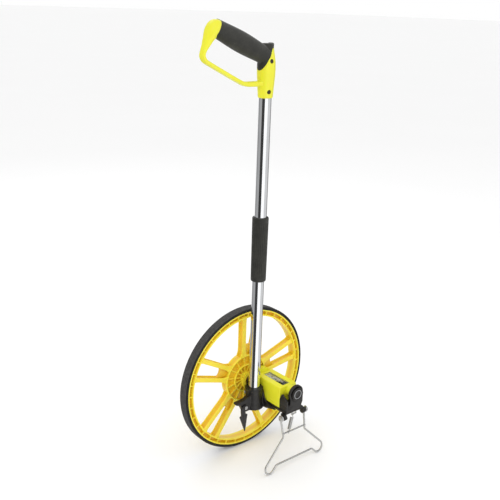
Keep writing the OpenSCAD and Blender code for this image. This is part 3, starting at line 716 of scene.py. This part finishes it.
def start_pointer():
    """Barbed arrow, turned a little about its screw, that marks where the wheel meets the ground."""
    out = -span("start_pointer")[0].y
    place = side_plane(POINTER.x, 0, POINTER.z) @ Matrix.Rotation(math.radians(7), 4, "Z")
    eye = [(5.5 * math.cos(a), 5.5 * math.sin(a)) for a in (math.radians(15 * k - 75) for k in range(12))]
    shaft = [(-7, 4), (-12, -2), (-12, -15.5), (-16.5, -17.5), (-6.5, -57), (3.5, -17.5), (-1, -15.5),
             (-1, -6)]
    bm = bmesh.new()
    prism(bm, eye + shaft, [0] * len(eye) + [1.5, 3, 1, 0.8, 0.6, 0.8, 0.8, 0.4], out - 3, out, place, 0.45)
    spine = [(-7.4, -4), (-7.6, -20), (-6.6, -48), (-5.6, -20), (-5.8, -4)]
    prism(bm, spine, 0.3, out - 1, out + 0.45, place, 0.3)
    piece("pointer_arrow", bm, "frame", "black_plastic", ["start_pointer"])


# ---- Counter ---------------------------------------------------------------------------------

# Distances outboard of the mid plane, the end block's height, and the collar and barrel.
CASE_END = -span("counter_bearings")[0].y
END = CASE_END + 23
END_TOP = -22
COLLAR_R = 18.5
COLLAR_DEEP = 7
BARREL_R = 11


def housing():
    """Counter case with soft edges, a raised lid line and a recess for the window."""
    left, right = BOX_LOW.x, BOX_HIGH.x
    low, top = BOX_LOW.z - WHEEL_R, BOX_HIGH.z - WHEEL_R
    inner, outer = -BOX_HIGH.y, CASE_END
    outline = [(left, low), (right, low), (right, top), (left, top)]
    bm = bmesh.new()
    prism(bm, outline, [1.8, 1.8, 3.2, 3.2], inner, outer, AXLE, 1.5, 5)
    obj = as_object(bm)
    carve(obj, slab, (left + 2, low - 1, inner + 2), (right - 2, top - 1.9, outer - 1.9), AXLE, 1, 0.3)
    lens_low, lens_high = span("counter_window")
    near, far, half = -lens_high.y, -lens_low.y, 7.8
    carve(obj, slab, (SHAFT.x - half, top - 6, near + 1.5), (SHAFT.x + half, top + 2, far - 1.5),
          AXLE, 0.2, 0.8)
    carve(obj, slab, (lens_low.x - 0.1, top - 1.25, near - 0.1), (lens_high.x + 0.1, top + 2, far + 0.1),
          AXLE, 0.1, 0.6)
    for start, stop in ((left - 2, left + 0.5), (right - 0.5, right + 2)):
        carve(obj, slab, (start, low + 6, inner + 9), (stop, low + 6.7, outer - 9), AXLE, 0.1, 0.1)
    piece("counter_case", obj, "frame", "housing_yellow", ["counter_housing"], 30)


def knob_barrel():
    """Yellow barrel on the end of the case that carries the knob's stem."""
    bm = bmesh.new()
    r, bore, foot, tip = BARREL_R, 4.1, CASE_END - 0.8, END - COLLAR_DEEP - 0.3
    profile = [(bore, foot), (r, foot), (r, tip - 3), (r - 0.4, tip - 2.6), (r - 0.4, tip - 1.6),
               (r, tip - 1.2), (r, tip), (bore, tip)]
    lathe(bm, rounded(profile, 0.35, 3), KNOB_AXIS, 96)
    piece("knob_barrel", bm, "frame", "housing_yellow")


def window():
    """Clear lens set in the lid, with a softened rim."""
    low, high = span("counter_window")
    bm = bmesh.new()
    outline = [(low.x, low.y), (high.x, low.y), (high.x, high.y), (low.x, high.y)]
    prism(bm, outline, 0.6, low.z, high.z, Matrix.Identity(4), 0.25)
    piece("counter_lens", bm, "frame", "clear_window", ["counter_window"])


def glyph(digit, size, thick):
    """A numeral as a sliced solid in local x and y, so that it can be bent round a wheel."""
    curve = bpy.data.curves.new("glyph", "FONT")
    curve.body = str(digit)
    curve.size = size
    curve.align_x = "CENTER"
    curve.align_y = "CENTER"
    curve.extrude = thick / 2
    curve.resolution_u = 3
    obj = add_object("glyph", curve)
    mesh = bpy.data.meshes.new_from_object(obj.evaluated_get(bpy.context.evaluated_depsgraph_get()))
    bpy.data.objects.remove(obj)
    bpy.data.curves.remove(curve)
    bm = bmesh.new()
    bm.from_mesh(mesh)
    bpy.data.meshes.remove(mesh)
    slices, apart = 9, 0.5
    for k in range(-slices, slices + 1):
        bmesh.ops.bisect_plane(bm, geom=bm.verts[:] + bm.edges[:] + bm.faces[:],
                               plane_co=(0, k * apart, 0), plane_no=(0, 1, 0), dist=0.0001)
    return bm


def numerals():
    """Ten printed numerals round each number wheel, read from above with the travel upwards."""
    shapes = [glyph(d, 8.2, 0.16) for d in range(10)]
    for k in range(1, 6):
        mid = middle(f"number_wheel_{k}")
        bm = bmesh.new()
        for digit, shape in enumerate(shapes):
            start = math.radians(36 * digit)
            copies = {}
            for vert in shape.verts:
                turn = start + vert.co.y / DIGIT_R
                r = DIGIT_R + 0.06 + vert.co.z
                copies[vert] = bm.verts.new((mid.x + r * math.sin(turn), mid.y - vert.co.x,
                                             mid.z + r * math.cos(turn)))
            for face in shape.faces:
                bm.faces.new([copies[v] for v in face.verts])
        ink = "white_plastic" if k == 1 else "dark_digit"
        body = "counter_drive" if k == 1 else f"digit_{k}"
        piece(f"numerals_{k}", bm, body, ink)
    for shape in shapes:
        shape.free()


def cradle():
    """Black tray under the case, end block with its collar and horn, and the lugs of the stand."""
    low = BOX_LOW.z - WHEEL_R
    left, right = BOX_LOW.x, BOX_HIGH.x
    knob_h, side = KNOB.z - WHEEL_R, KNOB.x + COLLAR_R
    bm = bmesh.new()
    tray = [(left - 1.5, low - 6), (right + 1.5, low - 6), (right + 1.5, low), (left - 1.5, low)]
    prism(bm, tray, [2.5, 2.5, 0.6, 0.6], -BOX_HIGH.y + 0.1, END, AXLE, 1.4, 4)
    block = [(left, low - 1), (right - 6, low - 1), (side, END_TOP), (left, END_TOP)]
    prism(bm, block, [1, 2, 1, 2], CASE_END + 0.05, END, AXLE, 1.4, 4)
    plate = [(SHAFT.x - 13, END_TOP - 2), (side, END_TOP - 2), (side, knob_h), (SHAFT.x - 13, knob_h)]
    prism(bm, plate, 0, END - COLLAR_DEEP, END, AXLE, 1.2, 4)
    horn = [(CASE_END + 0.05, -24), (CASE_END + 0.05, -14), (CASE_END + 5, -1.5), (CASE_END + 7, -0.5),
            (CASE_END + 9.5, -2), (END, -12), (END, -24)]
    prism(bm, horn, 1.2, 0, 4, end_plane(left), 0.8)
    for k in range(3):
        x = left + 6 + k * 4.5
        slab(bm, (x, low + 2, END - 1), (x + 1.2, END_TOP - 3, END + 0.6), AXLE, 0.4, 0.3)
    recess, knob_seat, back = 15.7, 3, END - COLLAR_DEEP
    profile = [(4.2, back), (4.2, END - knob_seat), (recess, END - knob_seat), (recess, END - 0.9),
               (recess + 0.9, END), (COLLAR_R - 1.2, END), (COLLAR_R, END - 1.2), (COLLAR_R, END - 3),
               (COLLAR_R - 0.5, END - 3.5), (COLLAR_R, END - 4), (COLLAR_R, back + 1), (COLLAR_R - 1, back)]
    lathe(bm, rounded(profile, 0.4, 2), KNOB_AXIS, 96)
    for hand in (-1, 1):
        lug(bm, hand, PIVOTS.z - WHEEL_R, low)
    piece("counter_cradle_moulding", bm, "frame", "black_plastic", ["counter_cradle"])


def lug(bm, hand, hinge_y, low):
    """One lug of the stand: a drum under a wedge that widens into the tray."""
    out = -PIVOTS.y
    half, thick, r = 26, 7, 6.5
    x = SHAFT.x + hand * half
    arc = [(out + r * math.cos(a), hinge_y + r * math.sin(a))
           for a in (-math.pi + math.pi * k / 16 for k in range(17))]
    outline = arc + [(out + 2.5, low - 5), (out - 8.5, low - 5)]
    prism(bm, outline, 0, 0, thick, end_plane(x - thick / 2), 0.8)


def reset_knob():
    """Fluted black knob in the collar, with a pale ring let into its face."""
    low, high = span("reset_knob")
    r = (high.x - low.x) / 2
    face, back, stem_from = -low.y, -low.y - 7, -high.y
    flutes = 18
    profile = [(0, face - 1.6), (r - 4.2, face - 1.6), (r - 3.6, face - 0.6), (r - 3, face), (r - 1, face),
               (r, face - 1.2), (r, back + 2), (r - 0.8, back), (4, back), (4, stem_from + 0.5),
               (0, stem_from)]

    def shape(radius, height, angle):
        if radius > r - 0.5 and height > back + 1:
            return radius - 0.9 * max(0, math.cos(flutes * angle)) ** 3
        return radius

    bm = bmesh.new()
    lathe(bm, rounded(profile, 0.4, 2), KNOB_AXIS, 180, shape)
    piece("knob_body", bm, "reset_knob", "black_plastic", ["reset_knob"], 50)
    ring = bmesh.new()
    ring_r, wide, thick = r - 4.6, 1.6, 1.3
    lathe(ring, rounded([(ring_r - wide, face - 1.7), (ring_r, face - 1.7), (ring_r, face - 1.7 + thick),
                         (ring_r - wide, face - 1.7 + thick)], 0.6, 3), KNOB_AXIS, 96)
    piece("knob_ring", ring, "reset_knob", "hinge_metal")


# ---- Handle ----------------------------------------------------------------------------------

# Heights above the axle of the boss's foot and of the grip's start, and the boss's radius.
BOSS_LOW = 594
GRIP_H = 668
BOSS_WIDE = 17.2
GRIP_RISE = math.radians(22.8)
GRIP_LENGTH = 131
GRIP_FOOT = COLUMN_AXIS @ Matrix.Translation((0, 0, GRIP_H))
GRIP_AXIS = GRIP_FOOT @ Matrix.Rotation(GRIP_RISE - math.pi / 2, 4, "Y")


def boss(bm, grow=0.0):
    """The boss over the end of the column, widest under the grip and closed by a small flat top."""
    w = BOSS_WIDE + grow
    profile = [(0, BOSS_LOW), (w - 4, BOSS_LOW), (w - 3.3, BOSS_LOW + 1.5), (w - 0.4, BOSS_LOW + 40),
               (w, BOSS_LOW + 52), (w - 0.5, 660), (w - 2.2, 670), (w - 4, 680), (w - 5.2, 687),
               (w - 5.8, 691), (w - 7, 692), (0, 690.5)]
    lathe(bm, rounded(profile, 1.2, 3), COLUMN_AXIS, 96)


def trim(obj, outline):
    """Cuts away everything inside an outline seen from the side, in the column's travel and height."""
    carve(obj, prism, outline, 0, -60, 60, COLUMN_SIDE, 0.01, 1)


# The seam between frame and grip, in the column's travel and height.
SEAM = [(-40, 599), (3, 683), (60, 690)]


def flowing(rows, steps):
    """Rows of numbers joined by a smooth curve through them all."""
    result = []
    for i in range(len(rows) - 1):
        before, a, b, after = (rows[max(0, min(len(rows) - 1, i + k))] for k in (-1, 0, 1, 2))
        for k in range(steps):
            t = k / steps
            result.append([0.5 * (2 * q + (r - p) * t + (2 * p - 5 * q + 4 * r - s) * t * t
                                  + (3 * q - p - 3 * r + s) * t ** 3)
                           for p, q, r, s in zip(before, a, b, after)])
    return result + [list(rows[-1])]


def guard(bm):
    """End cap and knuckle guard: a round cap that narrows into a flat strap back to the boss.

    Each station is the travel and height of its middle, its heading in degrees, and half its
    thickness and depth.
    """
    strap = (3.4, 6.8)
    stations = [(-118.5, 717.4, 157, 14.8, 15.2), (-123.5, 716.5, 176, 15, 15.2),
                (-129, 709, 214, 11.2, 13.4), (-134, 698.5, 237, 7, 10.4), (-139, 688, 243, 4.5, 8),
                (-143.5, 679, 250, *strap), (-145, 671, 275, *strap), (-141, 664, 312, *strap),
                (-133, 659, 332, *strap), (-98, 642, 334, *strap), (-63, 625.5, 336, *strap),
                (-50, 621.2, 350, 4.2, 7.4), (-36, 620.5, 358, 4.7, 7.8), (-8, 620.5, 360, 4.7, 7.8)]
    rings = []
    for x, height, heading, thick, deep in flowing(stations, 6):
        turn = math.radians(heading)
        across = Vector((-math.sin(turn), math.cos(turn)))
        corner = min(thick, deep) * (0.75 if thick < 6 else 0.98)
        section = rounded([(-thick, -deep), (thick, -deep), (thick, deep), (-thick, deep)], corner, 8)
        rings.append([COLUMN_SIDE @ Vector((x + across.x * q.x, height + across.y * q.x, q.y))
                      for q in section])
    loft(bm, rings)


def handle_frame():
    """Yellow boss, knuckle guard and end cap as one moulding, bored for the column and its screws."""
    bm = bmesh.new()
    boss(bm)
    guard(bm)
    obj = blended(bm, 0.7, 10, 0.4)
    foot, bend, end = SEAM
    high = BOSS_LOW + 44
    slope = (bend[1] - foot[1]) / (bend[0] - foot[0])
    trim(obj, [(-45, high), (bend[0] - (bend[1] - high) / slope, high), bend, end, (end[0], 740), (-45, 740)])
    bore, head = TUBE_R + 0.05, 4.05
    carve(obj, lathe, [(0, BOSS_LOW - 4), (bore, BOSS_LOW - 4), (bore, 639), (0, 639)], COLUMN_AXIS, 96)
    for x, out, height in ((-3, 14, 606), (-1, 15.6, 661)):
        place = COLUMN_SIDE @ Matrix.Translation((x, height, 0))
        carve(obj, lathe, [(0, out - 2), (head, out - 2), (head, out + 6), (0, out + 6)], place, 48)
    piece("handle_moulding", obj, "upper_column", "housing_yellow", ["handle_frame"], 68)


def handle_grip():
    """Soft grip with one broad swell for the palm, flowing into the horn over the boss."""
    steps, around = 30, 72
    bm = bmesh.new()
    rings = []
    for k in range(steps + 1):
        t = k / steps
        r = 16.4 + 2.3 * math.sin(math.pi * t) ** 2 - 1.1 * t ** 6
        rings.append([GRIP_AXIS @ Vector((r * math.cos(a), 0.96 * r * math.sin(a), t * GRIP_LENGTH))
                      for a in (math.tau * i / around for i in range(around))])
    loft(bm, rings)
    boss(bm, 0.15)
    horn = [(-16, 672), (-9, 686.5), (-2, 689.3), (5, 691), (9.6, 693.4), (11.4, 692.4), (11.8, 688),
            (9, 672)]
    prism(bm, horn, 1.5, -8.5, 8.5, COLUMN_SIDE, 4, 5)
    obj = blended(bm, 0.7, 9, 0.3)
    gap = 0.5
    lower = [(x, z + gap) for x, z in SEAM]
    trim(obj, lower + [(60, 560), (-40, 560)])
    piece("handle_grip_skin", obj, "upper_column", "grip_rubber", ["handle_grip"], 50)


# ---- Stand -----------------------------------------------------------------------------------

# The stand in its own plane, from the hinge line down.
WIRE_R = 2
FOOT_HALF = 69
FOOT_R = 12
STAND_LENGTH = (PIVOTS.z - WIRE_R) / math.cos(STAND_LEAN)
HIP = Vector((30, -44))
CROSS_AT = -36


def foot_side():
    """One side of the stand in its own plane, from the top of the arm to the base wire."""
    centre = Vector((FOOT_HALF, FOOT_R - STAND_LENGTH))
    base = Vector((FOOT_HALF - 18, FOOT_R - STAND_LENGTH + 1))

    def touch(point, side):
        away = point - centre
        return math.atan2(away.y, away.x) + side * math.acos(FOOT_R / away.length)

    first, last = touch(HIP, -1), touch(base, 1) - math.tau
    turns = 22
    arc = [centre + FOOT_R * Vector((math.cos(a), math.sin(a)))
           for a in (first + (last - first) * k / turns for k in range(turns + 1))]
    arm = rounded([(32.5, -5), HIP, arc[0]], 6, 5, closed=False)
    tail = rounded([arc[-1], base, (0, base.y)], 7, 5, closed=False)
    return arm[:-1] + arc + tail[1:-1]


def stand_wire():
    """One bent wire from eye to eye, and the cross wire welded between its arms."""
    side = foot_side()
    eye_r, eye_turns = 4.6, 20
    eye = [(32.5 + 3.2 * (1 - k / eye_turns), eye_r * math.sin(a), eye_r * math.cos(a))
           for k, a in ((k, math.pi * 1.05 + math.tau * 1.2 * (1 - k / eye_turns)) for k in range(eye_turns))]
    half = [Vector(p) for p in eye] + [Vector((p[0], p[1], 0)) for p in side[1:]]
    other = [Vector((-p.x, p.y, p.z)) for p in reversed(half)]
    bm = bmesh.new()
    tube(bm, [STAND @ p for p in half + other], WIRE_R, 14)
    tube(bm, [STAND @ Vector((x, CROSS_AT, 0)) for x in (-31, -15, 0, 15, 31)], WIRE_R - 0.3, 14)
    weld = [(0, -1.6), (2.6, -1.1), (3.1, 0), (2.6, 1.1), (0, 1.6)]
    for x in (-30.4, 30.4):
        spot = STAND @ Matrix.Translation((x, CROSS_AT, 0))
        lathe(bm, weld, spot @ Matrix.Rotation(math.pi / 2, 4, "Y"), 20)
    piece("stand_bent_wire", bm, "stand", "steel", ["stand_wire"], 60)


def stand_spring():
    """Close-wound spring slanting from the anchor to the cross wire, with a loop at each end."""
    coil_r, wire, turns, per_turn = 3.1, 0.62, 15, 14
    top, foot = Vector((-3, 0, 0)), Vector((-16, CROSS_AT, 0))
    along = (foot - top).normalized()
    across = Vector((-along.y, along.x, 0))
    upright = Vector((0, 0, 1))
    reach = (foot - top).length
    path = [top + Vector((0, 2.4 * math.sin(a), 2.4 * math.cos(a)))
            for a in (math.pi * (2 - 1.5 * k / 12) for k in range(13))]
    for k in range(turns * per_turn + 1):
        a = math.tau * k / per_turn
        spot = top + along * (6.5 + (reach - 12) * k / (turns * per_turn))
        path.append(spot + (across * math.cos(a) + upright * math.sin(a)) * coil_r)
    path += [foot + Vector((0, 2.6 * math.cos(a), 2.6 * math.sin(a)))
             for a in (math.pi * (0.1 + 1.6 * k / 12) for k in range(13))]
    bm = bmesh.new()
    tube(bm, [STAND @ p for p in path], wire, 8)
    piece("stand_coil_spring", bm, "stand", "steel", ["stand_spring"], 60)


# ---- Studio ----------------------------------------------------------------------------------

CAMERA_AZIMUTH = math.radians(-40.43)
CAMERA_HEIGHT = math.radians(18.06)
CAMERA_ROLL = math.radians(1.96)
CAMERA_FROM_AXLE = Vector((-934, -1103, 756))


def camera():
    """A camera where the photograph was taken from, given by its turn, rise and roll."""
    data = bpy.data.cameras.new("camera")
    data.lens = 54
    data.sensor_width = 36
    obj = add_object("camera", data)
    a, e, r = CAMERA_AZIMUTH, CAMERA_HEIGHT, CAMERA_ROLL
    back = Vector((math.sin(a) * math.cos(e), -math.cos(a) * math.cos(e), math.sin(e)))
    level = Vector((math.cos(a), math.sin(a), 0))
    upright = back.cross(level)
    right = level * math.cos(r) + upright * math.sin(r)
    up = upright * math.cos(r) - level * math.sin(r)
    place = Matrix((right, up, back)).transposed().to_4x4()
    place.translation = (CAMERA_FROM_AXLE + Vector((0, 0, WHEEL_R))) * MM
    obj.matrix_world = place
    bpy.context.scene.camera = obj


def area_light(name, place, target, size, power):
    """A soft square lamp that faces a point."""
    data = bpy.data.lights.new(name, "AREA")
    data.size = size
    data.energy = power
    obj = add_object(name, data)
    obj.location = place
    obj.rotation_euler = (Vector(target) - Vector(place)).to_track_quat("-Z", "Y").to_euler()


def glow(name, strength):
    """A plain emitting material for the cards that only reflections see."""
    material = bpy.data.materials.new(name)
    material.use_nodes = True
    nodes = material.node_tree.nodes
    nodes.clear()
    shine = nodes.new("ShaderNodeEmission")
    shine.inputs["Strength"].default_value = strength
    out = nodes.new("ShaderNodeOutputMaterial")
    material.node_tree.links.new(shine.outputs[0], out.inputs["Surface"])
    return material


def reflection_tent():
    """Cards round the object, seen only in reflections, that give the chrome its dark and light bands."""
    # From and to, in degrees round the column from the travel, and how brightly each card glows.
    bands = [(-180, -130, 0.05), (-130, -76, 1.25), (-76, -8, 0.72), (-8, 30, 0.16), (30, 96, 0.85),
             (96, 130, 0.3), (130, 180, 0.42)]
    radius, foot, height, steps = 0.235, 0.004, 1.0, 10
    for number, (first, last, strength) in enumerate(bands):
        bm = bmesh.new()
        rows = []
        for k in range(steps + 1):
            a = math.radians(first + (last - first) * k / steps)
            x, y = COLUMN.x * MM + radius * math.cos(a), COLUMN.y * MM + radius * math.sin(a)
            rows.append([bm.verts.new((x, y, z)) for z in (foot, height)])
        for a, b in zip(rows, rows[1:]):
            bm.faces.new((a[0], b[0], b[1], a[1]))
        mesh = as_mesh(bm, f"card_{number}")
        mesh.materials.append(glow(f"card_glow_{number}", strength))
        obj = add_object(f"card_{number}", mesh)
        obj.visible_camera = False
        obj.visible_diffuse = False
        obj.visible_transmission = False
        obj.visible_shadow = False


def floor():
    """A wide pale floor."""
    bm = bmesh.new()
    bmesh.ops.create_grid(bm, x_segments=8, y_segments=8, size=90)
    mesh = as_mesh(bm, "floor")
    look = Look("floor_paint", Roughness=0.7, Specular_IOR_Level=0.2)
    look.set("Base Color", look.mix(look.noise(900, 2), (0.93, 0.93, 0.93), (0.95, 0.95, 0.95)))
    mesh.materials.append(look.material)
    add_object("floor", mesh)


def studio():
    """Floor, light and camera."""
    floor()
    world = bpy.data.worlds.new("studio")
    world.use_nodes = True
    world.node_tree.nodes["Background"].inputs["Color"].default_value = (1, 1, 1, 1)
    world.node_tree.nodes["Background"].inputs["Strength"].default_value = 1.0
    bpy.context.scene.world = world
    area_light("key", (-1.6, -1.5, 2.2), (0, 0, 0.35), 1.4, 14)
    area_light("fill", (1.9, -1.2, 1.5), (0, 0, 0.4), 1.6, 5)
    area_light("back", (0.6, 2.0, 1.9), (0, 0, 0.5), 1.5, 6)
    reflection_tent()
    bpy.context.scene.view_settings.view_transform = "Standard"
    camera()


# ---- The object ------------------------------------------------------------------------------

paint_frame()
tyre()
wheel_moulding()
hub_cap()
column_tube("lower_chrome_tube", "lower_tube", "frame", True, False)
column_tube("upper_chrome_tube", "upper_tube", "upper_column", False, True)
lock_sleeve()
column_bracket()
start_pointer()
housing()
knob_barrel()
window()
numerals()
cradle()
reset_knob()
handle_frame()
handle_grip()
stand_wire()
stand_spring()
studio()
